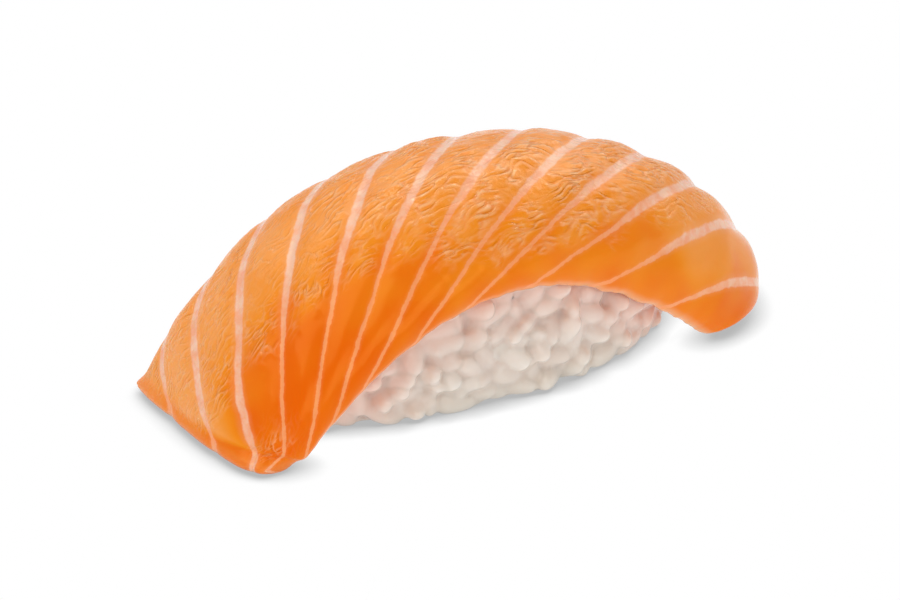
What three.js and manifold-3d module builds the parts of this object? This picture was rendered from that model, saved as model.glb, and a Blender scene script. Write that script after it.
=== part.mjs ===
// A piece of nigiri sushi: a slice of raw salmon draped over a small block of pressed rice.
// Millimetres, +Z up. +X runs along the slice, and -Y is the side where its lower edge shows.
// The finished group stands on Z = 0 with its origin under the middle of its own box.

import * as THREE from "three";
import { mergeVertices } from "three/addons/utils/BufferGeometryUtils.js";
import Module from "manifold-3d";

const wasm = await Module();
wasm.setup();

// Salmon slice: sizes along it, from its left end to its right end.
const sliceLength = 110;
const leftEndX = -39.5;
const slopeAlong = [63.5, 35.6, 0.2, -29.2, -68.5]; // degrees, at even steps along the slice
const lipFlare = 27; // degrees that the left end flattens where it meets the ground
const lipReach = 3.5;

// Salmon slice: sizes across it, at the same even steps. Near is -Y, far is +Y.
const nearHalfWidth = [13.5, 14.7, 14.7, 14.2, 13.9];
const farHalfWidth = [16.9, 17.9, 16.8, 14.9, 11.7];
const nearDrop = [4.9, 8.1, 11.4, 14.9, 13.7];
const farDrop = [1.3, 6.5, 10.1, 10.2, 6.9];
const drapeAngle = THREE.MathUtils.degToRad(85.5);
const rightEndBow = 2.6;

// Salmon slice: thickness, and how far each edge takes to round off.
const halfThickness = 2.65;
const rimHalfThickness = 0.14;
const leftEndRound = 13;
const rightEndRound = 6.5;
const longEdgeRound = 7.2;
const groundClearance = 1.2; // height of the slice's middle surface where it lies on the ground

// White fat lines: where each crosses the middle of the slice, how far it leans and how it bows.
const lineCrossings = [-12, -3.5, 4.5, 14.5, 25, 36.5, 47.5, 58.5, 71, 83, 95, 107, 121, 135];
const lineLean = [9, 22.5, 32.5, 33, 24];
const lineBow = [6, 2, -7, -12, -8];
const lineStraightFrom = 0.35;
const fleshBulge = 0.4; // how far the flesh stands up between two fat lines
const bulgeLevel = 0.6;

// Rice block: footprint of the core, and how its wall swells with height.
const riceMiddle = { x: 4.5, y: 1 };
const riceHalfWidth = 13.3;
const riceLeftReach = 34.5;
const riceRightReach = 29.8;
const riceLeftPower = 1.25;
const riceRightPower = 1;
const coreHeight = 36;
const wallSwell = [1, 1.045, 1.03, 0.99, 0.93, 0.86, 0.78];

// Rice grains, and the gap that the block keeps to the slice.
const grainLength = 6.4;
const grainWidth = 3.2;
const grainThickness = 2.8;
const grainSpacing = 6.9;
const grainRowPitch = 3.1;
const grainRows = 6;
const sliceGap = 0.3;

// A smooth curve through evenly spaced stations, for t from 0 to 1.
function through(stations, t) {
  const spans = stations.length - 1;
  const place = THREE.MathUtils.clamp(t, 0, 1) * spans;
  const i = Math.min(Math.floor(place), spans - 1);
  const f = place - i;
  const b = stations[i];
  const c = stations[i + 1];
  const a = i > 0 ? stations[i - 1] : 2 * b - c;
  const d = i + 2 <= spans ? stations[i + 2] : 2 * c - b;
  return b + 0.5 * f * (c - a + f * (2 * a - 5 * b + 4 * c - d + f * (3 * (b - c) + d - a)));
}

// Slope of the slice along its length, in radians, at a share of its length.
function slopeAt(share) {
  const flare = lipFlare * Math.exp((-share * sliceLength) / lipReach);
  return THREE.MathUtils.degToRad(through(slopeAlong, share) - flare);
}

// Middle line of the slice in the XZ plane, summed from its slope in short steps.
const spineSteps = 400;
const spine = [new THREE.Vector2(leftEndX, 0)];
for (let i = 0; i < spineSteps; i++) {
  const slope = slopeAt((i + 0.5) / spineSteps);
  const step = new THREE.Vector2(Math.cos(slope), Math.sin(slope));
  spine.push(spine[i].clone().addScaledVector(step, sliceLength / spineSteps));
}

function spineAt(share) {
  const place = THREE.MathUtils.clamp(share, 0, 1) * spineSteps;
  const i = Math.min(Math.floor(place), spineSteps - 1);
  return spine[i].clone().lerp(spine[i + 1], place - i);
}

// Middle surface of the slice: u runs along it from 0 to 1, v across it from -1 (near) to 1 (far).
// Each cross-section is a quarter ellipse to either side, square to the middle line.
function sliceMiddle(u, v) {
  const bow = rightEndBow * v * v * u ** 6;
  const share = u - bow / sliceLength;
  const slope = slopeAt(share);
  const onSpine = spineAt(share);
  const angle = Math.abs(v) * drapeAngle;
  const halfWidth = through(v < 0 ? nearHalfWidth : farHalfWidth, share);
  const drop = through(v < 0 ? nearDrop : farDrop, share);
  const across = (halfWidth * Math.sin(angle)) / Math.sin(drapeAngle);
  const down = (drop * (1 - Math.cos(angle))) / (1 - Math.cos(drapeAngle));
  const aboveGround = onSpine.y - down * Math.cos(slope) - groundClearance;
  return new THREE.Vector3(
    onSpine.x + down * Math.sin(slope),
    Math.sign(v) * across,
    groundClearance + (aboveGround + Math.hypot(aboveGround, 1)) / 2,
  );
}

// Upward direction square to the middle surface.
function sliceNormal(u, v) {
  const step = 1e-3;
  const clamp = THREE.MathUtils.clamp;
  const along = sliceMiddle(clamp(u + step, 0, 1), v).sub(sliceMiddle(clamp(u - step, 0, 1), v));
  const across = sliceMiddle(u, clamp(v + step, -1, 1)).sub(sliceMiddle(u, clamp(v - step, -1, 1)));
  return along.cross(across).normalize();
}

// Share of the full thickness that is left at a distance from an edge: a quarter circle.
function rounding(distance, reach) {
  const inward = 1 - THREE.MathUtils.clamp(distance / reach, 0, 1);
  return Math.sqrt(1 - inward * inward);
}

// Distance over the surface from a place on the slice to its nearer long edge.
function distanceToLongEdge(u, v) {
  const halfWidth = through(v < 0 ? nearHalfWidth : farHalfWidth, u);
  const drop = through(v < 0 ? nearDrop : farDrop, u);
  return (1 - Math.abs(v)) * 1.08 * Math.hypot(halfWidth, drop);
}

function sliceHalfThickness(u, v) {
  const full =
    halfThickness *
    rounding(distanceToLongEdge(u, v), longEdgeRound) *
    rounding(u * sliceLength, leftEndRound) *
    rounding((1 - u) * sliceLength, rightEndRound);
  return Math.max(full, rimHalfThickness);
}

// Distance along the slice at which fat line number i lies, for a place v across the slice.
function lineAt(i, v) {
  const share = i / (lineCrossings.length - 1);
  const past = Math.max(v - lineStraightFrom, 0);
  const curve = (v - past) ** 2 + 2 * lineStraightFrom * past;
  return lineCrossings[i] + through(lineLean, share) * v + through(lineBow, share) * curve;
}

// Height of the flesh over the smooth slice: a rounded ridge between each two fat lines.
function fleshRelief(u, v) {
  const along = u * sliceLength;
  let i = 0;
  while (i < lineCrossings.length - 2 && lineAt(i + 1, v) < along) i++;
  const phase = (along - lineAt(i, v)) / (lineAt(i + 1, v) - lineAt(i, v));
  const ridge = Math.sin(Math.PI * THREE.MathUtils.clamp(phase, 0, 1)) ** 0.8;
  const fromEdge = Math.min(distanceToLongEdge(u, v), along, sliceLength - along);
  return fleshBulge * (ridge - bulgeLevel) * THREE.MathUtils.smoothstep(fromEdge, 0, longEdgeRound);
}

// Even steps from -1 to 1 that draw together towards both ends, where the edges are round.
function gather(t) {
  const power = 1.35;
  return Math.sign(t) * (1 - (1 - Math.abs(t)) ** power);
}

// The slice as a flat box of many small faces, bent over the middle surface.
// With a gap the same shape grows by that much all round, to cut room for it out of the rice.
function sliceGeometry(stepsAlong, stepsAcross, gap) {
  const box = new THREE.BoxGeometry(2, 2, 2, stepsAlong, stepsAcross, 1);
  const corner = new THREE.Vector3();
  for (let i = 0; i < box.attributes.position.count; i++) {
    corner.fromBufferAttribute(box.attributes.position, i);
    const u = (gather(corner.x) + 1) / 2;
    const v = gather(corner.y);
    const relief = corner.z > 0 ? fleshRelief(u, v) : 0;
    const thickness = sliceHalfThickness(u, v) + relief + gap;
    const point = sliceMiddle(u, v).addScaledVector(sliceNormal(u, v), corner.z * thickness);
    if (gap > 0 && Math.abs(corner.y) === 1) {
      const inside = sliceMiddle(u, v * 0.98);
      point.addScaledVector(sliceMiddle(u, v).sub(inside).normalize(), gap);
    }
    box.attributes.position.setXYZ(i, point.x, point.y, gap > 0 ? point.z : Math.max(point.z, 0));
  }
  return box;
}

// Turns a closed geometry into a manifold-3d solid, and back.
function toSolid(geometry) {
  const plain = geometry.clone().deleteAttribute("normal").deleteAttribute("uv");
  const merged = mergeVertices(plain, 1e-4);
  return new wasm.Manifold(
    new wasm.Mesh({
      numProp: 3,
      vertProperties: new Float32Array(merged.attributes.position.array),
      triVerts: new Uint32Array(merged.index.array),
    }),
  );
}

function toGeometry(solid) {
  const mesh = solid.getMesh();
  const geometry = new THREE.BufferGeometry();
  geometry.setAttribute("position", new THREE.BufferAttribute(mesh.vertProperties, 3));
  geometry.setIndex(new THREE.BufferAttribute(mesh.triVerts, 1));
  geometry.computeVertexNormals();
  return geometry;
}

// A point of the rice core's wall: turn is the angle round the block, reach 1 is the wall.
function ricePoint(turn, reach, height) {
  const leftwards = Math.cos(turn) < 0;
  const power = leftwards ? riceLeftPower : riceRightPower;
  const length = leftwards ? riceLeftReach : riceRightReach;
  const swell = reach * through(wallSwell, height / coreHeight);
  const alongShare = Math.sign(Math.cos(turn)) * Math.abs(Math.cos(turn)) ** power;
  const acrossShare = Math.sign(Math.sin(turn)) * Math.abs(Math.sin(turn)) ** power;
  return new THREE.Vector3(
    riceMiddle.x + swell * length * alongShare,
    riceMiddle.y + swell * riceHalfWidth * acrossShare,
    height,
  );
}

// The bare core: an upright drum of rice, taller than the block, that the slice then cuts off.
function coreGeometry() {
  const drum = new THREE.CylinderGeometry(1, 1, coreHeight, 32, 6).rotateX(Math.PI / 2);
  const corner = new THREE.Vector3();
  for (let i = 0; i < drum.attributes.position.count; i++) {
    corner.fromBufferAttribute(drum.attributes.position, i);
    const turn = Math.atan2(corner.y, corner.x);
    const point = ricePoint(turn, Math.hypot(corner.x, corner.y), corner.z + coreHeight / 2);
    drum.attributes.position.setXYZ(i, point.x, point.y, point.z);
  }
  return drum;
}

// Room left under the slice at a point: negative where the point is in the slice or over it.
const underside = [];
for (let u = 0; u <= 1; u += 1 / 72) {
  for (let v = -1; v <= 1; v += 1 / 16) {
    underside.push({
      middle: sliceMiddle(u, v),
      normal: sliceNormal(u, v),
      half: sliceHalfThickness(u, v),
    });
  }
}

function roomUnderSlice(point) {
  let nearest = underside[0];
  for (const place of underside) {
    if (place.middle.distanceTo(point) < nearest.middle.distanceTo(point)) nearest = place;
  }
  const offset = point.clone().sub(nearest.middle);
  if (offset.dot(nearest.normal) > 0) return -1;
  return offset.length() - nearest.half;
}

// One grain of rice at its true size, lying along a direction against the wall of the core.
function grainGeometry(centre, outward, tilt, size) {
  const level = new THREE.Vector3(-outward.y, outward.x, 0);
  const up = new THREE.Vector3().crossVectors(outward, level);
  const long = level.clone().multiplyScalar(Math.cos(tilt)).addScaledVector(up, Math.sin(tilt));
  const side = new THREE.Vector3().crossVectors(outward, long);
  const grain = new THREE.SphereGeometry(0.5, 5, 3).rotateZ(Math.PI / 2);
  grain.scale(grainLength * size, grainWidth * size, grainThickness * size);
  grain.applyMatrix4(new THREE.Matrix4().makeBasis(long, side, outward).setPosition(centre));
  const heights = grain.attributes.position;
  for (let i = 0; i < heights.count; i++) heights.setZ(i, Math.max(heights.getZ(i), 0));
  return grain;
}

// The rice block: the core with rows of grains pressed into its wall, cut clear of the slice.
function riceSolid() {
  const random = THREE.MathUtils.seededRandom;
  random(29);
  let block = toSolid(coreGeometry());
  for (let row = 0; row < grainRows; row++) {
    const height = grainThickness / 2 + row * grainRowPitch;
    const corners = [];
    for (let i = 0; i < 64; i++) corners.push(ricePoint((i * Math.PI) / 32, 1, height));
    const wall = new THREE.CatmullRomCurve3(corners, true);
    const count = Math.round(wall.getLength() / grainSpacing);
    for (let i = 0; i < count; i++) {
      const place = ((i + 0.5 * (row % 2) + 0.5 * random()) / count) % 1;
      const tangent = wall.getTangentAt(place);
      const outward = new THREE.Vector3(tangent.y, -tangent.x, 0).normalize();
      const centre = wall.getPointAt(place).addScaledVector(outward, 0.7 * (random() - 0.5));
      const tilt = (random() - 0.5) * 1.9;
      const size = 0.92 + 0.16 * random();
      if (row > 0) centre.z += 0.8 * (random() - 0.5);
      if (roomUnderSlice(centre) < 1.1) continue;
      block = block.add(toSolid(grainGeometry(centre, outward, tilt, size)));
    }
  }
  const bodies = block.subtract(toSolid(sliceGeometry(28, 10, sliceGap))).decompose();
  return bodies.reduce((a, b) => (a.boundingBox().min[2] <= b.boundingBox().min[2] ? a : b));
}

const salmon = new THREE.MeshStandardMaterial({ color: "#f07a1c", roughness: 0.35 });
const rice = new THREE.MeshStandardMaterial({ color: "#efe6dc", roughness: 0.4 });

const salmonSlice = new THREE.Mesh(sliceGeometry(84, 22, 0), salmon);
salmonSlice.name = "salmon_slice";
const riceBlock = new THREE.Mesh(toGeometry(riceSolid()), rice);
riceBlock.name = "rice_block";

const nigiri = new THREE.Group();
nigiri.add(salmonSlice, riceBlock);
const box = new THREE.Box3().setFromObject(nigiri, true);
nigiri.position.set(-(box.min.x + box.max.x) / 2, -(box.min.y + box.max.y) / 2, -box.min.z);

export default nigiri;
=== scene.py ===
import bpy
import numpy as np
from mathutils import Matrix, Vector
from mathutils.kdtree import KDTree


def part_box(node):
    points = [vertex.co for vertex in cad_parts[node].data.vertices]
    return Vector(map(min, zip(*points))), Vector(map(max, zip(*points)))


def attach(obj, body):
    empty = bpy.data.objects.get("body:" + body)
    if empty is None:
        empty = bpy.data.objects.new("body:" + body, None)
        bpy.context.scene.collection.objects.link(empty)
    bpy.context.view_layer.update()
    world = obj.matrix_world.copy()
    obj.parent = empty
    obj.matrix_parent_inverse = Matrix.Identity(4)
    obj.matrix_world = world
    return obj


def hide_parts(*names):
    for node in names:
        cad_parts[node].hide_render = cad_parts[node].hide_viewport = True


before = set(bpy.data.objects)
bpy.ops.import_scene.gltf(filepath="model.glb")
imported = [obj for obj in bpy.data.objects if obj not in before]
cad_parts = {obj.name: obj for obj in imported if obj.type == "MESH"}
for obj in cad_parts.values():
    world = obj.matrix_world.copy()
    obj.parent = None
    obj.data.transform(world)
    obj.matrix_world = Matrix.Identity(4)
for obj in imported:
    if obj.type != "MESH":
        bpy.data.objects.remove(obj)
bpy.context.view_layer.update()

# ---------------------------------------------------------------------------------------------
# Salmon slice. A slice of raw salmon some 5 mm thick, cut on the bias and draped over the rice:
# its left end lies on the ground as a thin lip, its right end curls down past the rice. Pale fat
# lines cross it in shallow grooves, and the flesh between them bulges and wrinkles.

# Sizes are in millimetres until a mesh is made. Lists of five and of eleven values are for evenly
# spaced places from the slice's left end to its right one.
MM = 0.001
slice_length = 110.0
left_end_x = -39.5
slope_along = [63.5, 35.6, 0.2, -29.2, -68.5]
lip_flare, lip_reach = 27.0, 3.5
half_width = {"near": [13.5, 14.7, 14.7, 14.2, 13.9], "far": [16.9, 17.9, 16.8, 14.9, 11.7]}
edge_drop = {"near": [4.9, 8.1, 11.4, 14.9, 13.7], "far": [1.3, 6.5, 10.1, 10.2, 6.9]}
drape_angle = np.radians(85.5)
right_end_bow = 2.6

half_thickness = 2.65
rim_half_thickness = 0.14
left_end_round, right_end_round, long_edge_round = 13.0, 6.5, 7.2
ground_clearance, ground_softness = 1.2, 1.0

line_crossings = np.array([-12, -3.5, 4.5, 14.5, 25, 36.5, 47.5, 58.5, 71, 83, 95, 107, 121, 135])
line_lean = [9.0, 22.5, 32.5, 33.0, 24.0]
line_bow = [6.0, 2.0, -7.0, -12.0, -8.0]
line_straight_from = 0.35
flesh_bulge, groove_share, groove_reach = 0.4, 0.45, 1.5
fold_depth, brink_rise = 0.1, 0.22
fold_length, fold_pitch, fold_offset = 4.0, 0.86, 0.25
folds_end_at = [-0.12, -0.16, -0.3, -0.42, -0.7, -0.78, -0.72, -0.58, -0.45, -0.1, 0.4]
# Paleness of the top along the slice: partly the flesh's own tone, partly painted sheen.
top_paleness_and_sheen = [0.95, 0.9, 0.76, 0.46, 0.42, 0.44, 0.45, 0.42, 0.46, 0.48, 0.44]


def through(stations, t):
    """Smooth curve through evenly spaced stations: a Catmull-Rom cubic between each two."""
    stations = np.asarray(stations, float)
    spans = len(stations) - 1
    place = np.clip(t, 0, 1) * spans
    i = np.minimum(place.astype(int), spans - 1)
    f = place - i
    before, after = 2 * stations[0] - stations[1], 2 * stations[-1] - stations[-2]
    padded = np.concatenate([[before], stations, [after]])
    a, b, c, d = (padded[i + k] for k in range(4))
    return b + 0.5 * f * (c - a + f * (2 * a - 5 * b + 4 * c - d + f * (3 * (b - c) + d - a)))


def by_side(pair, share, v):
    """Stations of the near side where v is negative, and of the far side where it isn't."""
    return np.where(v < 0, through(pair["near"], share), through(pair["far"], share))


def slope_at(share):
    """Slope of the slice along its length, flattened close to its left end, in radians."""
    flare = lip_flare * np.exp(-share * slice_length / lip_reach)
    return np.radians(through(slope_along, share) - flare)


spine_steps = 400
spine_share = np.linspace(0, 1, spine_steps + 1)
spine_slope = slope_at((spine_share[1:] + spine_share[:-1]) / 2)
spine_step = slice_length / spine_steps
spine_x = left_end_x + np.concatenate([[0], np.cumsum(np.cos(spine_slope)) * spine_step])
spine_z = np.concatenate([[0], np.cumsum(np.sin(spine_slope)) * spine_step])


def slice_middle(u, v):
    """Middle surface: a quarter ellipse to each side of the middle line and square to it, which
    runs out level where it would pass through the ground. u runs along from 0 to 1, v across
    from -1 (near edge) to 1 (far edge)."""
    share = u - right_end_bow * v**2 * u**6 / slice_length
    slope = slope_at(share)
    angle = np.abs(v) * drape_angle
    across = by_side(half_width, share, v) * np.sin(angle) / np.sin(drape_angle)
    down = by_side(edge_drop, share, v) * (1 - np.cos(angle)) / (1 - np.cos(drape_angle))
    above = np.interp(share, spine_share, spine_z) - down * np.cos(slope) - ground_clearance
    x = np.interp(share, spine_share, spine_x) + down * np.sin(slope)
    z = ground_clearance + (above + np.hypot(above, ground_softness)) / 2
    return np.stack([x, np.sign(v) * across, z], -1)


def surface_normal(grid):
    """Unit normal of a grid of points: the cross product of its two directions."""
    normal = np.cross(np.gradient(grid, axis=0), np.gradient(grid, axis=1))
    return normal / np.linalg.norm(normal, axis=-1, keepdims=True)


def rounding(distance, reach):
    """Share of the thickness left at a distance from an edge: a quarter circle."""
    return np.sqrt(1 - (1 - np.clip(distance / reach, 0, 1)) ** 2)


def half_arc(u, v):
    """Length over the surface from the slice's middle line to its edge on v's side: the straight
    line between the two, and 8 % for its curve."""
    return 1.08 * np.hypot(by_side(half_width, u, v), by_side(edge_drop, u, v))


def slice_half_thickness(u, v):
    """Half of the slice's thickness, rounded off towards all four edges."""
    full = half_thickness * rounding((1 - np.abs(v)) * half_arc(u, v), long_edge_round)
    full = full * rounding(u * slice_length, left_end_round)
    full = full * rounding((1 - u) * slice_length, right_end_round)
    return np.maximum(full, rim_half_thickness)


def line_places(v):
    """Distance along the slice of every fat line at places v across it. It leans and bows with v,
    and goes on straight past a share of the far side. The last axis is the line."""
    share = np.arange(len(line_crossings)) / (len(line_crossings) - 1)
    past = np.maximum(v - line_straight_from, 0)
    curve = (v - past) ** 2 + 2 * line_straight_from * past
    lean = v[..., None] * through(line_lean, share)
    return line_crossings + lean + curve[..., None] * through(line_bow, share)


noise_table = np.random.default_rng(11).uniform(-1, 1, 8192)


def noise(x, y, layer):
    """Smooth noise, about -1 to 1: a slope for each corner of a unit lattice, and the four planes
    around a point blended with an S-curve. Three primes lead from a corner and a layer to its
    slope in the table, so every layer is a noise of its own."""
    i, j = np.floor(x).astype(int), np.floor(y).astype(int)
    f, g = x - i, y - j

    def plane(a, b):
        corner = (i + a) * 157 + (j + b) * 1009 + layer * 2711
        turn = np.pi * noise_table[corner % len(noise_table)]
        return np.cos(turn) * (f - a) + np.sin(turn) * (g - b)

    s, t = (w * w * w * (w * (6 * w - 15) + 10) for w in (f, g))
    low = plane(0, 0) * (1 - s) + plane(1, 0) * s
    high = plane(0, 1) * (1 - s) + plane(1, 1) * s
    return 1.7 * (low * (1 - t) + high * t)


def smooth_step(value, low, high):
    """0 below low, 1 above high, and an S-curve between them."""
    t = np.clip((value - low) / (high - low), 0, 1)
    return t * t * (3 - 2 * t)


def gathered(count, power=1.3):
    """Steps from -1 to 1 that draw together towards both ends, where the edges are round."""
    t = np.linspace(-1, 1, count + 1)
    return np.sign(t) * (1 - (1 - np.abs(t)) ** power)


# The upper side's grid, the lower side's taking every fourth point of it. Point places are kept
# as u and v, and as millimetres along the slice and across it from its middle line.
coarser = 4
steps_along, steps_across = 500, 172
u, v = np.meshgrid((gathered(steps_along) + 1) / 2, gathered(steps_across), indexing="ij")
along = u * slice_length
arc = v * half_arc(u, v)

# Distance to the nearest fat line, square to it, from the lines before and after each point.
# Phase runs from 0 at the one to 1 at the other.
places = line_places(v)
wander = 0.35 * noise(along / 8, arc / 8, 1) + 0.16 * noise(along / 2.6, arc / 2.6, 2)
behind = (places <= (along + wander)[..., None]).sum(-1).clip(1, len(line_crossings) - 1) - 1
start = np.take_along_axis(places, behind[..., None], -1)[..., 0]
end = np.take_along_axis(places, behind[..., None] + 1, -1)[..., 0]
phase = np.clip((along + wander - start) / (end - start), 0, 1)
lean = np.gradient(places, axis=1) / np.gradient(arc, axis=1)[..., None]
slant = 1 / np.hypot(1, np.take_along_axis(lean, behind[..., None], -1)[..., 0])
to_line = np.minimum(phase, 1 - phase) * (end - start) * slant

# Flesh bulges between the lines, most at the top of the right end, and lies in soft hollows.
end_distance = np.minimum(along, slice_length - along)
edge_distance = np.minimum((1 - np.abs(v)) * half_arc(u, v), end_distance)
edge_fade = np.clip(edge_distance / long_edge_round, 0, 1) ** 0.7
end_fade = np.clip((slice_length - along) / 26, 0.25, 1)
end_fade = end_fade + 1.3 * smooth_step(v, 0.0, 0.5) * smooth_step(along, 66, 84)
end_fade = np.maximum(end_fade, 1.8 * smooth_step(v, -0.55, -0.1) * smooth_step(along, 80, 90))
groove = groove_share * (1 - np.exp(-((to_line / groove_reach) ** 2)))
bulge = flesh_bulge * (0.55 * np.sin(np.pi * phase) ** 0.8 + groove - 0.6)
undulation = 0.22 * noise(along / 11, arc / 8, 3) + 0.11 * noise(along / 5, arc / 4.4, 4)

# Folds lie along the slice, over all but the lower near side. They follow the zero lines of a
# stretched noise whose own coordinates swirl, so they are short, uneven and here and there curl.
fold_u = along + 1.0 * noise(along / 6, arc / 5, 6)
fold_v = arc + 1.3 * noise(along / 8.5, arc / 6, 7) + 0.4 * noise(along / 3.4, arc / 2.8, 8)
smooth_below = through(folds_end_at, u) + 0.1 * noise(along / 7, arc / 7, 9)
upper = smooth_step(v, smooth_below - 0.06, smooth_below + 0.08)
creased = upper * np.clip(edge_distance / 2.5, 0, 1) * np.clip((to_line - 0.3) / 0.9, 0.3, 1)
creased = creased * np.clip(0.95 + 0.6 * noise(along / 8, arc / 6, 10), 0.4, 1.2)
creased = creased * (0.5 + 0.5 * smooth_step(along, 30, 50))
creased = creased * (1 - 0.7 * smooth_step(along, 80, 94))
# A tuck near the left end's near corner is creased too.
tuck = np.exp(-(((along - 5) / 3.5) ** 2) - ((v + 0.7) / 0.13) ** 2)
creased = creased + 0.8 * tuck * np.clip(edge_distance / 2, 0, 1)


def fold_wave(lower):
    """Noise stretched along the folds, moved down by a distance across them, with a share of a
    finer noise that is largest at the left. Every fold lies where it passes zero."""
    across = fold_v + lower
    finer = noise(fold_u / (0.45 * fold_length), across / (0.6 * fold_pitch), 12)
    share = 0.42 + 0.8 * smooth_step(-along, -42, -26)
    return noise(fold_u / fold_length, across / fold_pitch, 11) + share * finer


valley, crest = fold_wave(0.0), fold_wave(fold_offset)
wrinkles = np.exp(-((crest / 0.45) ** 2)) - np.exp(-((valley / 0.35) ** 2))
# Where the folds end, the left half has a low, broken brink.
brink = np.exp(-(((v - smooth_below + 0.04) / 0.035) ** 2)) * smooth_step(along, 4, 10)
brink = brink * np.clip(noise(along / 2.2, v, 18) + 0.3, 0, 1) * smooth_step(-along, -60, -45)
wrinkles = fold_depth * creased * wrinkles + brink_rise * brink
relief = bulge * end_fade + undulation + wrinkles

# Flesh is deepest in colour low on the near side and at the left, and palest along the top, partly
# by its own tone and partly by painted sheen. Its right end has a patch of painted sheen low on the
# near side, and is a little deeper past it. Each bulge on top carries painted sheen in its middle.
deep_from = [0, 3, 8, 20, 35, 50, 110]
deep_up_to = np.interp(along, deep_from, [0.2, -0.6, -0.1, -0.12, -0.42, -0.7, -0.55])
paleness_and_sheen = 0.05 + 0.2 * smooth_step(along, 18, 45)
# The top's paleness is partly the flesh's own paler tone and partly painted sheen.
paleness_and_sheen = paleness_and_sheen + through(top_paleness_and_sheen, u) * smooth_step(v, deep_up_to - 0.35, deep_up_to + 0.5)
paleness_and_sheen = paleness_and_sheen + 0.13 * noise(along / 6, arc / 4, 13)
# A patch of painted sheen low on the right end's near side.
paleness_and_sheen = paleness_and_sheen + 0.4 * np.exp(-(((along - 88) / 7) ** 2) - ((v + 0.6) / 0.22) ** 2)
paleness_and_sheen = paleness_and_sheen - 0.12 * smooth_step(along, 95.5, 98.5)
# Painted sheen in the middle of every bulge on top, deeper beside the lines.
paleness_and_sheen = paleness_and_sheen + upper * (0.24 * np.sin(np.pi * phase) ** 1.5 - 0.14)
paleness_and_sheen = paleness_and_sheen + 0.12 * creased * noise(fold_u / 2.2, fold_v / 1.3, 14)

# Fat lines are broad and pale on top, narrow and orange low on the near side, but for those at
# the right end. The left end's own edge turns them orange again.
turn_from = [0, 4, 14, 35, 60, 85, 110]
line_turns = np.interp(along, turn_from, [-0.9, -0.6, -0.05, -0.2, -0.35, -0.7, -0.8])
line_paleness = smooth_step(v, line_turns - 0.4, line_turns + 0.3)
at_left_edge = smooth_step(-along, -5, -1.5) * smooth_step(v, -0.75, -0.55)
line_paleness = line_paleness * (1 - 0.7 * at_left_edge)

# The cut edges aren't straight: they draw in a little at every fat line, and wander.
drawn_in = 0.4 * (1 - np.sin(np.pi * phase) ** 0.5) + 0.1 + 0.1 * noise(arc / 1.9, along / 9, 15)
edge_reach = 2.5
from_left, from_right = np.exp(-along / edge_reach), np.exp((along - slice_length) / edge_reach)
wavy = 0.22 * noise(along / 4.5, v, 16) + 0.12 * noise(along / 1.8, v, 17)
from_side = np.exp(-(1 - np.abs(v)) * half_arc(u, v) / edge_reach)
ragged_u = u + drawn_in * (from_left - from_right) / slice_length
ragged_v = v + np.sign(v) * wavy * from_side / half_arc(u, v)
middle = slice_middle(ragged_u, ragged_v)
normal = surface_normal(middle)
half = slice_half_thickness(u, v)
plain_outer = middle + normal * half[..., None]
plain_inner = middle - normal * half[..., None]

# The upper side bends sharply up from the lip: it is relaxed there, as flesh would be.
relaxed = plain_outer.copy()
give = smooth_step(-middle[..., 2], -7, -2) * smooth_step(edge_distance, 0.6, 3.5) * (along < 30)
relaxing_rounds = 240
for _ in range(relaxing_rounds):
    around_it = relaxed[:-2, 1:-1] + relaxed[2:, 1:-1] + relaxed[1:-1, :-2] + relaxed[1:-1, 2:]
    relaxed[1:-1, 1:-1] += 0.5 * give[1:-1, 1:-1, None] * (around_it / 4 - relaxed[1:-1, 1:-1])
outer = relaxed + surface_normal(relaxed) * (relief * edge_fade)[..., None]
inner = plain_inner.copy()
for surface in (outer, inner, plain_outer, plain_inner):
    surface[..., 2] = np.maximum(surface[..., 2], 0)

# The slice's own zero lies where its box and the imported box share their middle.
low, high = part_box("salmon_slice")
plain = np.concatenate([plain_outer, plain_inner])
plain_low, plain_high = plain.min((0, 1)), plain.max((0, 1))
place_x = (low.x + high.x) / 2 / MM - (plain_low[0] + plain_high[0]) / 2
place_y = (low.y + high.y) / 2 / MM - (plain_low[1] + plain_high[1]) / 2
to_frame = np.array([place_x, place_y, 0.0])


def grid_quads(ids):
    """Quads between neighbouring vertices of a grid of vertex numbers."""
    return np.stack([ids[:-1, :-1], ids[1:, :-1], ids[1:, 1:], ids[:-1, 1:]], -1).reshape(-1, 4)


def around(rows, columns):
    """Row and column numbers of a grid's rim, once around from its first corner."""
    i, j = np.arange(rows - 1), np.arange(columns - 1)
    row = np.concatenate([i, 0 * j + rows - 1, i[::-1] + 1, 0 * j])
    column = np.concatenate([0 * i, j, 0 * i + columns - 1, j[::-1] + 1])
    return row, column


# Upper side on the fine grid, lower side on the coarser one, and a fan of triangles between the
# two around the rim.
rows, columns = u.shape
top_ids = np.arange(rows * columns).reshape(rows, columns)
low_rows, low_columns = rows // coarser, columns // coarser
inside = inner[coarser:-coarser:coarser, coarser:-coarser:coarser]
inside_ids = rows * columns + np.arange(inside[..., 0].size).reshape(inside.shape[:2])
rim_row, rim_column = around(rows, columns)
rim_ids = top_ids[rim_row, rim_column].reshape(-1, coarser)
rim_ends = np.roll(rim_ids[:, 0], -1)
near_row = np.clip(rim_row[::coarser] // coarser, 1, low_rows - 1) - 1
near_column = np.clip(rim_column[::coarser] // coarser, 1, low_columns - 1) - 1
near_ids = inside_ids[near_row, near_column]
next_ids = np.roll(near_ids, -1)
steps = np.concatenate([rim_ids, rim_ends[:, None]], 1)
fan = [
    np.stack([steps[:, k + 1], steps[:, k], near_ids if k < coarser / 2 else next_ids], -1)
    for k in range(coarser)
]
bridge = np.stack([steps[:, coarser // 2], near_ids, next_ids], -1)[near_ids != next_ids]
slice_faces = grid_quads(top_ids).tolist() + grid_quads(inside_ids)[:, ::-1].tolist()
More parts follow.
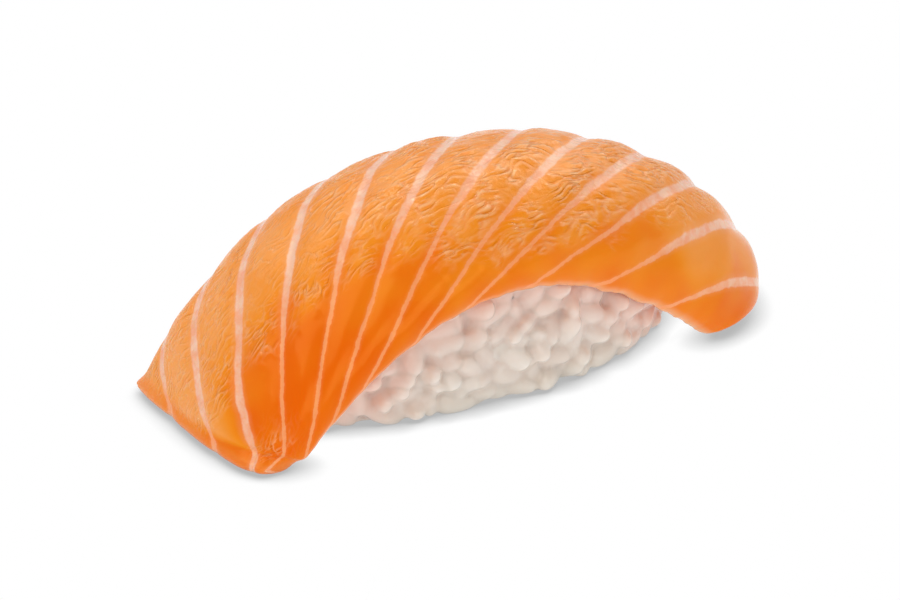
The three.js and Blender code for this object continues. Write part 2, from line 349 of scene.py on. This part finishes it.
slice_faces += np.concatenate([*fan, bridge]).tolist()
outer[rim_row, rim_column] = (outer[rim_row, rim_column] + inner[rim_row, rim_column]) / 2
slice_points = np.concatenate([outer.reshape(-1, 3), inside.reshape(-1, 3)])

slice_mesh = bpy.data.meshes.new("salmon")
slice_mesh.from_pydata(((slice_points + to_frame) * MM).tolist(), [], slice_faces)
slice_mesh.polygons.foreach_set("use_smooth", np.ones(len(slice_faces), bool))
for name, values in (
    ("along", along),
    ("arc", arc),
    ("edge", edge_distance),
    ("to_line", to_line),
    ("valley", valley),
    ("crest", crest),
    ("creased", creased),
    ("upper", upper),
    ("paleness_and_sheen", paleness_and_sheen),
    ("line_paleness", line_paleness),
):
    under = values[coarser:-coarser:coarser, coarser:-coarser:coarser]
    both = np.concatenate([values.ravel(), under.ravel()]).astype(np.float32)
    slice_mesh.attributes.new(name, "FLOAT", "POINT").data.foreach_set("value", both)
salmon = bpy.data.objects.new("salmon_fillet", slice_mesh)
bpy.context.collection.objects.link(salmon)
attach(salmon, "root")
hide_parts("salmon_slice")


class Nodes:
    """A new node material, with short ways to add the nodes it is made of."""

    def __init__(self, name):
        self.material = bpy.data.materials.new(name)
        self.material.use_nodes = True
        self.tree = self.material.node_tree
        self.tree.nodes.clear()

    def add(self, kind, inputs=(), output=0, **settings):
        """A node of a kind with its settings; inputs pairs socket names with values or sockets."""
        node = self.tree.nodes.new("ShaderNode" + kind)
        for key, value in settings.items():
            setattr(node, key, value)
        for key, value in dict(inputs).items():
            if isinstance(value, bpy.types.NodeSocket):
                self.tree.links.new(value, node.inputs[key])
            else:
                node.inputs[key].default_value = value
        return node.outputs[output] if node.outputs else None

    def value(self, name):
        """One of the piece's own point attributes."""
        return self.add("Attribute", output="Fac", attribute_name=name)

    def math(self, kind, a, b=0.0):
        """Two values put together."""
        return self.add("Math", {0: a, 1: b}, operation=kind)

    def ramp(self, value, low, high, to_low=0.0, to_high=1.0):
        """Value taken smoothly from one range to another, and held at both ends."""
        ends = {"From Min": low, "From Max": high, "To Min": to_low, "To Max": to_high}
        return self.add("MapRange", {"Value": value, **ends}, interpolation_type="SMOOTHSTEP")

    def mix(self, share, a, b):
        """Colour a blended with colour b by a share."""
        a, b = ((*c, 1) if isinstance(c, tuple) else c for c in (a, b))
        return self.add("Mix", {0: share, 6: a, 7: b}, output=2, data_type="RGBA")

    def noise(self, vector, scale, detail=3.0, rough=0.5):
        """Noise from 0 to 1 on a vector."""
        settings = {"Vector": vector, "Scale": scale, "Detail": detail, "Roughness": rough}
        return self.add("TexNoise", settings)

    def finish(self, **inputs):
        """A principled surface with these inputs as the material's output."""
        shader = self.add("BsdfPrincipled", {k.replace("_", " "): x for k, x in inputs.items()})
        self.add("OutputMaterial", {"Surface": shader})
        return self.material


flesh_deep = (0.85, 0.122, 0.0001)
flesh_mid = (0.92, 0.275, 0.010)
flesh_pale = (0.97, 0.36, 0.082)
flesh_sheen = (0.99, 0.435, 0.20)
# Painted shade for fold valleys and painted glints for fold brows.
fold_shade = (0.84, 0.19, 0.001)
fold_glint = (1.0, 0.56, 0.30)
flesh_edge = (0.89, 0.21, 0.010)
rim_lit_through = (0.90, 0.46, 0.24)
fat_pale = (0.97, 0.60, 0.44)
fat_pink = (0.95, 0.43, 0.27)
fat_low = (0.97, 0.34, 0.13)
fat_half_width = {"low": 0.30, "top": 0.74}
bead_height = 0.12


def salmon_material():
    """Deep orange flesh, paler on top by its own tone and by painted sheen, lighter at thin edges
    by painted light shining through, with painted glints and shade on its folds, and pink-white fat
    lines.
    """
    n = Nodes("raw_salmon")
    flat = n.add("CombineXYZ", {"X": n.value("along"), "Y": n.value("arc")})
    edge, upper = n.value("edge"), n.value("upper")
    flesh = n.mix(n.ramp(n.value("paleness_and_sheen"), -0.1, 0.6), flesh_deep, flesh_mid)
    flesh = n.mix(n.ramp(n.value("paleness_and_sheen"), 0.4, 1.1), flesh, flesh_pale)
    # Palest of all is a painted whitish sheen.
    flesh = n.mix(n.ramp(n.value("paleness_and_sheen"), 0.9, 1.6), flesh, flesh_sheen)
    flesh = n.mix(n.ramp(edge, 0.3, 3.0, 0.7, 0.0), flesh, flesh_edge)
    # The thin rim is lighter: painted light shining through it, less so at the lip.
    past_lip = n.ramp(n.value("along"), 3.0, 14.0, 0.15, 1.0)
    flesh = n.mix(n.math("MULTIPLY", past_lip, n.ramp(edge, 0.0, 1.2, 0.7, 0.0)), flesh, rim_lit_through)

    # Fat lines: a pale core with soft ragged sides, narrow and faint towards the near edge.
    speckle = n.noise(flat, 2.2, 3.0, 0.6)
    ragged = n.math("SUBTRACT", n.noise(flat, 0.8, 4.0, 0.65), 0.5)
    distance = n.math("ADD", n.value("to_line"), n.math("MULTIPLY", ragged, 0.55))
    paleness = n.value("line_paleness")
    width = n.ramp(paleness, 0.0, 1.0, fat_half_width["low"], fat_half_width["top"])
    ratio = n.math("DIVIDE", distance, width)
    core = n.ramp(ratio, 0.55, 1.05, 1.0, 0.0)
    core = n.math("MULTIPLY", core, n.ramp(speckle, 0.25, 0.65, 0.7, 0.95))
    halo = n.ramp(ratio, 0.8, 2.2, 0.14, 0.0)
    whitish = n.mix(n.ramp(n.noise(flat, 0.45, 3.0, 0.6), 0.35, 0.65), fat_pink, fat_pale)
    fat = n.mix(paleness, fat_low, whitish)
    colour = n.mix(n.math("ADD", core, halo), flesh, fat)

    # The folds of the mesh carry painted shade at their bottom and a painted glint at their brow,
    #     # in patches.
    patchy = n.ramp(n.noise(flat, 0.35, 2.0, 0.5), 0.38, 0.58, 0.3, 1.1)
    patchy = n.math("MULTIPLY", patchy, n.value("creased"))

    def zero_line(name, wide):
        """Thin lines where one of the piece's point attributes passes zero, in patches."""
        wave = n.math("ABSOLUTE", n.value(name))
        return n.math("MULTIPLY", n.ramp(wave, 0.0, wide, 1.0, 0.0), patchy)

    valley_shade, crest_glint = zero_line("valley", 0.3), zero_line("crest", 0.5)
    colour = n.mix(n.math("MULTIPLY", crest_glint, 0.5), colour, fold_glint)
    colour = n.mix(n.math("MULTIPLY", valley_shade, 0.42), colour, fold_shade)

    # Fibres too fine for the mesh, drawn as painted glints and painted shade: a noise drawn out
    #     # along the slice.
    drawn_out = n.add("VectorMath", {0: flat, 1: (0.55, 2.1, 0.0)}, operation="MULTIPLY")
    fine = {"Vector": drawn_out, "Scale": 1.0, "Detail": 3.0, "Roughness": 0.6, "Distortion": 0.7}
    fibre = n.add("TexNoise", fine)
    fibre_glint = n.math("MULTIPLY", n.ramp(fibre, 0.52, 0.68, 0.0, 0.42), patchy)
    fibre_shade = n.math("MULTIPLY", n.ramp(fibre, 0.34, 0.48, 0.34, 0.0), patchy)
    colour = n.mix(fibre_glint, colour, fold_glint)
    colour = n.mix(fibre_shade, colour, fold_shade)

    # Small beads stand all over it, mostly on the upper side.
    beads = n.math("MULTIPLY", n.noise(flat, 1.5, 4.0, 0.65), n.ramp(upper, 0.0, 1.0, 0.15, 0.8))
    beads = n.math("ADD", beads, n.math("MULTIPLY", fibre, n.math("MULTIPLY", patchy, 0.9)))
    height = n.math("SUBTRACT", beads, valley_shade)
    bumped = n.add("Bump", {"Height": height, "Strength": 1.0, "Distance": bead_height * MM})
    return n.finish(
        Base_Color=colour,
        Roughness=n.ramp(speckle, 0.25, 0.75, 0.12, 0.24),
        IOR=1.45,
        Specular_Tint=(1.0, 0.66, 0.15, 1),
        Subsurface_Weight=0.22,
        Subsurface_Radius=(1.0, 0.35, 0.12),
        Subsurface_Scale=1.0 * MM,
        Normal=bumped,
    )


slice_mesh.materials.append(salmon_material())

# ---------------------------------------------------------------------------------------------
# Rice. Cooked short-grain rice, grains about 6 mm by 3 mm, pressed by hand into a block: they
# lie every way along its wall, two deep over a solid middle, and cling where they touch. The
# block stands under the slice, and its wall swells a little above its foot.
grain_length, grain_width = 6.2, 3.3
rice_middle = np.array([4.5, 1.0])
rice_half_width = 14.3
rice_reach = {"left": 36.0, "right": 31.0}
rice_power = {"left": 1.25, "right": 1.0}
drum_height = 36.0
wall_swell = [1, 1.045, 1.03, 0.99, 0.93, 0.86, 0.78]
layer_pitches = {1.3: (2.5, 4.6), 1.95: (2.6, 4.6)}
grain_rows = 10
grain_tilt, grain_lift, grain_roll = 0.8, 0.14, 0.35
height_scatter, depth_scatter = 0.7, 0.25
core_depth = 1.4
cling = 0.34
draw = np.random.default_rng(5)

under_u, under_v = np.meshgrid(np.linspace(0, 1, 150), np.linspace(-1, 1, 61), indexing="ij")
under_points = slice_middle(under_u, under_v)
under_normal = surface_normal(under_points).reshape(-1, 3)
under_half = slice_half_thickness(under_u, under_v).ravel()
under_rim = ((np.abs(under_v) == 1) | (under_u == 0) | (under_u == 1)).ravel()
under_points = under_points.reshape(-1, 3)
under_tree = KDTree(len(under_points))
for i, point in enumerate(under_points):
    under_tree.insert(point, i)
under_tree.balance()


def room_under_slice(points):
    """Gap between each point and the slice, negative above its lower face, and the direction
    that leads away from it."""
    nearest = np.array([under_tree.find(point)[1] for point in points])
    offset = points - under_points[nearest]
    side = (offset * under_normal[nearest]).sum(-1)
    distance = np.linalg.norm(offset, axis=-1)
    gap = np.where(under_rim[nearest], distance, -side) - under_half[nearest]
    return gap, -under_normal[nearest]


def underside_height(x, y):
    """Height of the slice's lower face over ground points, from the nearest places on it."""
    lower = under_points - under_normal * under_half[:, None]
    distance = (x[:, None] - lower[:, 0]) ** 2 + (y[:, None] - lower[:, 1]) ** 2
    nearest = np.argsort(distance, axis=1)[:, :4]
    weight = 1 / (np.take_along_axis(distance, nearest, 1) + 0.05)
    return (lower[nearest, 2] * weight).sum(1) / weight.sum(1)


def rice_wall(turn, depth, height):
    """Wall of the block, a depth inside it: a superellipse footprint, scaled by wall_swell from
    the foot up to drum_height."""
    leftwards = np.cos(turn) < 0
    power = np.where(leftwards, rice_power["left"], rice_power["right"])
    length = np.where(leftwards, rice_reach["left"], rice_reach["right"])
    swell = through(wall_swell, height / drum_height)
    x = np.sign(np.cos(turn)) * np.abs(np.cos(turn)) ** power * (length * swell - depth)
    y = np.sign(np.sin(turn)) * np.abs(np.sin(turn)) ** power * (rice_half_width * swell - depth)
    return np.stack([rice_middle[0] + x, rice_middle[1] + y, height + 0 * x], -1)


# Grains in rows around the wall, each with its own tilt along the wall and lift out of it. A
# layer's depth comes with the height from row to row and the spacing from grain to grain.
centres, axes, outwards, layers = [], [], [], []
full_turn = np.linspace(0, 2 * np.pi, 721)
for depth, (pitch, spacing) in layer_pitches.items():
    for row in range(grain_rows):
        height = grain_width * 0.47 + row * pitch
        wall = rice_wall(full_turn, depth, np.full_like(full_turn, height))
        length = np.concatenate([[0], np.cumsum(np.linalg.norm(np.diff(wall, axis=0), axis=1))])
        number = int(round(length[-1] / spacing))
        at = (np.arange(number) + 0.5 * (row % 2) + 0.6 * draw.uniform(-1, 1, number)) / number
        turns = np.interp((at % 1) * length[-1], length, full_turn)
        heights = height + height_scatter * draw.uniform(-1, 1, number)
        heights = np.maximum(heights, grain_width * 0.45)
        level = rice_wall(turns + 0.01, depth, heights) - rice_wall(turns - 0.01, depth, heights)
        level /= np.linalg.norm(level, axis=1, keepdims=True)
        outward = np.stack([level[:, 1], -level[:, 0], 0 * turns], -1)
        tilt, lift = draw.normal(0, grain_tilt, number), draw.normal(0, grain_lift, number)
        axis = level * np.cos(tilt)[:, None] + np.array([0, 0, 1]) * np.sin(tilt)[:, None]
        depths = depth + depth_scatter * draw.uniform(-1, 1, number)
        centres.append(rice_wall(turns, depths, heights))
        axes.append(axis * np.cos(lift)[:, None] + outward * np.sin(lift)[:, None])
        outwards.append(outward)
        layers.append(np.full(number, depth))
centres, axes = np.concatenate(centres), np.concatenate(axes)
outwards, layers = np.concatenate(outwards), np.concatenate(layers)
keep = room_under_slice(centres)[0] > 0.3
centres, axes, outwards, layers = centres[keep], axes[keep], outwards[keep], layers[keep]

# Grains that overlap too far push each other apart along the wall: each is three balls on a
# line, and only grains of the same layer push. Each is also drawn back to where it began.
ball_radius = grain_width / 2
pushing_rounds, push_share, homing_share = 36, 0.22, 0.08
ball_places = np.array([-1.0, 0.0, 1.0])[None, :, None] * (grain_length / 2 - ball_radius)
owner = np.repeat(np.arange(len(centres)), 3)
home, layer, wall_side = centres.copy(), np.repeat(layers, 3), np.repeat(outwards, 3, axis=0)
never_pushes = (owner[:, None] == owner) | (layer[:, None] != layer)
for _ in range(pushing_rounds):
    balls = (centres[:, None] + axes[:, None] * ball_places).reshape(-1, 3)
    gap = balls[:, None] - balls[None]
    distance = np.linalg.norm(gap, axis=-1) + np.where(never_pushes, 99.0, 0.0)
    overlap = np.clip(2 * ball_radius * (1 - cling / 2) - distance, 0, None)
    push = (gap / distance[..., None] * overlap[..., None]).sum(1) * push_share
    push = push - wall_side * (push * wall_side).sum(-1, keepdims=True)
    push[:, 2] += np.clip(ball_radius * 0.9 - balls[:, 2], 0, None)
    push = push.reshape(-1, 3, 3)
    centres = centres + push.mean(1) + homing_share * (home - centres)
    axes = axes + (push[:, 2] - push[:, 0]) / grain_length
    axes /= np.linalg.norm(axes, axis=1, keepdims=True)
tips = (centres[:, None] + axes[:, None] * ball_places).reshape(-1, 3)
keep = room_under_slice(tips)[0].reshape(-1, 3).min(1) > -0.8
centres, axes, outwards = centres[keep], axes[keep], outwards[keep]
grain_count = len(centres)

# One grain is a superellipse of revolution, bent, flattened, and fuller at one end. t runs from
# tip to tip, a around.
t = np.linspace(0, np.pi, 15)[None, :, None]
a = np.linspace(0, 2 * np.pi, 16, endpoint=False)[None, None, :]


def each(low, high):
    """A value of its own for every grain, shaped to go with its grid."""
    return draw.uniform(low, high, (grain_count, 1, 1))


# Adding each(0, 0) gives every grain a grid of its own.
x = -np.cos(t) + 0 * a + each(0, 0)
radius = np.sin(t) ** 0.65 * (1 + each(-0.13, 0.13) * x)
radius = radius * (1 + each(0, 0.07) * np.cos(each(2, 4) * a + each(0, 6)))
y = radius * np.cos(a) + each(-0.25, 0.25) * (1 - x**2)
z = radius * np.sin(a) * each(0.7, 0.85)
shape = np.stack([x, y, z], -1) * each(0.9, 1.1)[..., None]
shape = shape * np.array([grain_length, grain_width, grain_width]) / 2
# Every grain lies flat on the wall, but for a small roll about its own length.
roll = draw.normal(0, grain_roll, grain_count)[:, None]
side = np.cross(outwards, axes)
side /= np.linalg.norm(side, axis=1, keepdims=True)
y_axis = side * np.cos(roll) + np.cross(axes, side) * np.sin(roll)
turned = np.stack([axes, y_axis, np.cross(axes, y_axis)], 1)
grains = np.einsum("gabk,gkc->gabc", shape, turned) + centres[:, None, None]
ring_rows, ring_steps = grains.shape[1:3]
grid = np.arange(ring_rows * ring_steps).reshape(ring_rows, ring_steps)
grid = np.concatenate([grid, grid[:, :1]], 1)
first_corners = np.arange(grain_count) * ring_rows * ring_steps
grain_faces = (grid_quads(grid)[None] + first_corners[:, None, None]).reshape(-1, 4)

# The middle of the block: the wall's own form a few millimetres in, closed under the slice.
turns = np.linspace(0, 2 * np.pi, 97)[:-1]
core_foot, below_slice, wall_rings = 0.1, 0.5, 9
foot = rice_wall(turns, core_depth, np.full_like(turns, 6.0))
top = np.clip(underside_height(foot[:, 0], foot[:, 1]) - below_slice, 1.0, 34)
rings = [
    rice_wall(turns, core_depth, core_foot + share * (top - core_foot))
    for share in np.linspace(0, 1, wall_rings)
]
for shrink in (0.85, 0.65, 0.4, 0.15):
    ring = rings[wall_rings - 1].copy()
    ring[:, :2] = rice_middle + (ring[:, :2] - rice_middle) * shrink
    ring[:, 2] = underside_height(ring[:, 0], ring[:, 1]) - below_slice
    rings.append(ring)
core_points = np.concatenate(rings)
grid = np.arange(len(core_points)).reshape(len(rings), -1)
core_caps = [grid[0][::-1].tolist(), grid[-1].tolist()]
core_quads = grid_quads(np.concatenate([grid, grid[:, :1]], 1))[:, ::-1]

# Grains and middle are fused into one surface. It is swollen, fused again and drawn back in, so
# that the narrow gaps between the grains stay filled, as they are with starch. Then a tenth of
# its triangles go.
fusing_voxel, swelling, kept_triangles = 0.30, 0.15, 0.9
loose_points = np.concatenate([grains.reshape(-1, 3), core_points])
core_start = grains[..., 0].size
loose_faces = grain_faces[:, ::-1].tolist() + (core_quads + core_start).tolist()
loose_faces += [[corner + core_start for corner in cap] for cap in core_caps]
loose_mesh = bpy.data.meshes.new("loose_rice")
loose_mesh.from_pydata((loose_points * MM).tolist(), [], loose_faces)
loose = bpy.data.objects.new("loose_rice", loose_mesh)
bpy.context.collection.objects.link(loose)
for swell in (swelling, -swelling):
    fuse = loose.modifiers.new("fuse", "REMESH")
    fuse.mode, fuse.voxel_size = "VOXEL", fusing_voxel * MM
    soften = loose.modifiers.new("soften", "SMOOTH")
    soften.factor, soften.iterations = 0.5, 1
    inflate = loose.modifiers.new("inflate", "DISPLACE")
    inflate.strength, inflate.mid_level = swell * MM, 0.0
thin_out = loose.modifiers.new("thin_out", "DECIMATE")
thin_out.ratio = kept_triangles
fused = loose.evaluated_get(bpy.context.evaluated_depsgraph_get())
rice_mesh = bpy.data.meshes.new_from_object(fused)
bpy.data.objects.remove(loose)
rice_mesh.name = "rice"
rice_points = np.empty(len(rice_mesh.vertices) * 3)
rice_mesh.vertices.foreach_get("co", rice_points)
rice_points = rice_points.reshape(-1, 3) / MM
# Rice that would reach into the fish is pressed down to just below it.
least_room = 0.12
room, away = room_under_slice(rice_points)
rice_points += away * np.clip(least_room - room, 0, None)[:, None]
rice_points[:, 2] = np.maximum(rice_points[:, 2], 0)

# Every grain has a tint of its own. Seam is how much nearer a point is to its own grain's axis
# than to the next one's, and is 0 where two grains meet.
tints = draw.uniform(0, 1, grain_count)
tint, seam = np.empty((2, len(rice_points)))
segment = axes * (grain_length / 2 - ball_radius)
batches = 60
for batch in np.array_split(np.arange(len(rice_points)), batches):
    from_centre = rice_points[batch, None] - centres
    slide = np.clip((from_centre * segment).sum(-1) / (segment**2).sum(-1), -1, 1)
    distance = np.linalg.norm(from_centre - segment * slide[..., None], axis=-1)
    tint[batch] = tints[distance.argmin(1)]
    nearest_two = np.partition(distance, 1, axis=1)[:, :2]
    seam[batch] = nearest_two[:, 1] - nearest_two[:, 0]
rice_mesh.vertices.foreach_set("co", ((rice_points + to_frame) * MM).ravel())
rice_mesh.polygons.foreach_set("use_smooth", np.ones(len(rice_mesh.polygons), bool))
for name, values in (("tint", tint), ("seam", seam), ("room", room)):
    attribute = rice_mesh.attributes.new(name, "FLOAT", "POINT")
    attribute.data.foreach_set("value", values.astype(np.float32))
rice = bpy.data.objects.new("rice_grains", rice_mesh)
bpy.context.collection.objects.link(rice)
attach(rice, "root")
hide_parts("rice_block")

rice_dull, rice_bright = (0.755, 0.635, 0.555), (0.80, 0.72, 0.645)
rice_foot_shade = (0.66, 0.60, 0.51)
rice_pink_and_fish_bounce = (0.82, 0.535, 0.45)
rice_seam_shade = (0.58, 0.50, 0.42)


def rice_material():
    """Moist cooked rice: translucent warm white, cloudy inside, with painted shade at its foot,
    pinker towards both ends, pink with painted light thrown from the fish close to it, and faint
    broken painted shade in the seams between grains."""
    n = Nodes("cooked_rice")
    place = n.add("TexCoord", output="Object")
    cloudy = n.noise(place, 420.0, 3.0, 0.55)
    share = n.math("ADD", n.math("MULTIPLY", cloudy, 0.7), n.math("MULTIPLY", n.value("tint"), 0.5))
    height = n.add("SeparateXYZ", {"Vector": place}, output="Z")
    white = n.mix(n.ramp(share, 0.2, 0.95), rice_dull, rice_bright)
    # Painted shade darkens the lowest few millimetres.
    white = n.mix(n.ramp(height, 0.0, 7.0 * MM, 0.5, 0.0), white, rice_foot_shade)
    from_middle = n.math("ABSOLUTE", n.add("SeparateXYZ", {"Vector": place}, output="X"))
    near_ends = n.ramp(from_middle, 12 * MM, 28 * MM, 0.0, 0.5)
    # Close to the fish the pink is painted light thrown from it; towards both ends the rice is
    # pinker.
    fish_bounce = n.ramp(n.value("room"), 0.0, 9.0, 0.68, 0.0)
    colour = n.mix(n.math("ADD", near_ends, fish_bounce), white, rice_pink_and_fish_bounce)
    # Painted shade along the seams between grains, broken up in patches.
    broken = n.ramp(n.noise(place, 230.0, 2.0, 0.5), 0.42, 0.66, 0.05, 0.36)
    seam = n.math("MULTIPLY", n.ramp(n.value("seam"), 0.0, 0.5, 1.0, 0.0), broken)
    colour = n.mix(seam, colour, rice_seam_shade)
    uneven = n.noise(place, 1100.0, 2.0, 0.5)
    bumped = n.add("Bump", {"Height": uneven, "Strength": 0.3, "Distance": 0.15 * MM})
    return n.finish(
        Base_Color=colour,
        Roughness=n.ramp(cloudy, 0.3, 0.7, 0.10, 0.26),
        IOR=1.38,
        Subsurface_Weight=0.9,
        Subsurface_Radius=(1.0, 0.93, 0.85),
        Subsurface_Scale=3.0 * MM,
        Normal=bumped,
    )


rice_mesh.materials.append(rice_material())

# ---------------------------------------------------------------------------------------------
# Studio. A table lit white from below under a white tent, its glow dimmed only where the piece
# # stands close over it: a painted contact shadow. Two long narrow lamps behind and at the right
# # give the wet fish its sheen, and two soft boxes above and in front light it evenly.
table_reach, shadow_reach = 3.0, 4.2
table_mesh = bpy.data.meshes.new("table")
corners = [(-1, -1, 0), (1, -1, 0), (1, 1, 0), (-1, 1, 0)]
table_mesh.from_pydata((np.array(corners) * table_reach).tolist(), [], [(0, 1, 2, 3)])
table = bpy.data.objects.new("table", table_mesh)
bpy.context.collection.objects.link(table)
card = Nodes("light_table")
shading = {"Distance": shadow_reach * MM}
open_sky = card.add("AmbientOcclusion", shading, output="AO", samples=16)
shade = {"From Min": 0.3, "From Max": 0.88, "To Min": 0.47, "To Max": 1.0}
table_mesh.materials.append(
    card.finish(
        Base_Color=(0, 0, 0, 1),
        Specular_IOR_Level=0.0,
        Emission_Color=(1, 1, 1, 1),
        Emission_Strength=card.add("MapRange", {"Value": open_sky, **shade}),
    )
)
lamp_aim = Vector((0, 0, 0.01))


def soft_lamp(name, place, size, power):
    """An oblong area lamp at a place, its long side level, turned to face the piece."""
    data = bpy.data.lights.new(name, "AREA")
    data.shape = "RECTANGLE"
    data.size, data.size_y = size
    data.energy = power
    lamp = bpy.data.objects.new(name, data)
    facing = (Vector(place) - lamp_aim).to_track_quat("Z", "Y").to_matrix().to_4x4()
    lamp.matrix_world = Matrix.Translation(place) @ facing
    bpy.context.collection.objects.link(lamp)


soft_lamp("back_lamp", (0.16, 0.44, 0.50), (0.85, 0.05), 1.4)
soft_lamp("side_lamp", (0.52, 0.20, 0.34), (0.40, 0.05), 0.42)
soft_lamp("top_box", (-0.32, 0.04, 0.50), (0.40, 0.40), 0.95)
soft_lamp("front_box", (-0.12, -0.58, 0.28), (0.60, 0.30), 1.05)
tent_strength = 0.5
world = bpy.data.worlds.new("tent")
bpy.context.scene.world = world
world.use_nodes = True
world.node_tree.nodes["Background"].inputs["Color"].default_value = (1, 1, 1, 1)
world.node_tree.nodes["Background"].inputs["Strength"].default_value = tent_strength
bpy.context.scene.view_settings.view_transform = "Standard"

# Camera: level turn and tilt towards the piece, with a long lens from 43 cm.
camera_turn, camera_tilt, camera_distance = np.radians(-33.62), np.radians(26.44), 0.430
camera_aim = (np.array([0.11, -1.27, 10.6]) + to_frame) * MM
focal_in_pixels, picture_width = 3190, 900
level = np.array([np.sin(camera_turn), -np.cos(camera_turn), 0.0])
back = level * np.cos(camera_tilt) + np.array([0.0, 0.0, np.sin(camera_tilt)])
camera_data = bpy.data.cameras.new("camera")
camera_data.sensor_width = 36.0
camera_data.lens = focal_in_pixels * camera_data.sensor_width / picture_width
camera = bpy.data.objects.new("camera", camera_data)
looking = Vector(back).to_track_quat("Z", "Y").to_matrix().to_4x4()
camera.matrix_world = Matrix.Translation(camera_aim + back * camera_distance) @ looking
bpy.context.collection.objects.link(camera)
bpy.context.scene.camera = camera
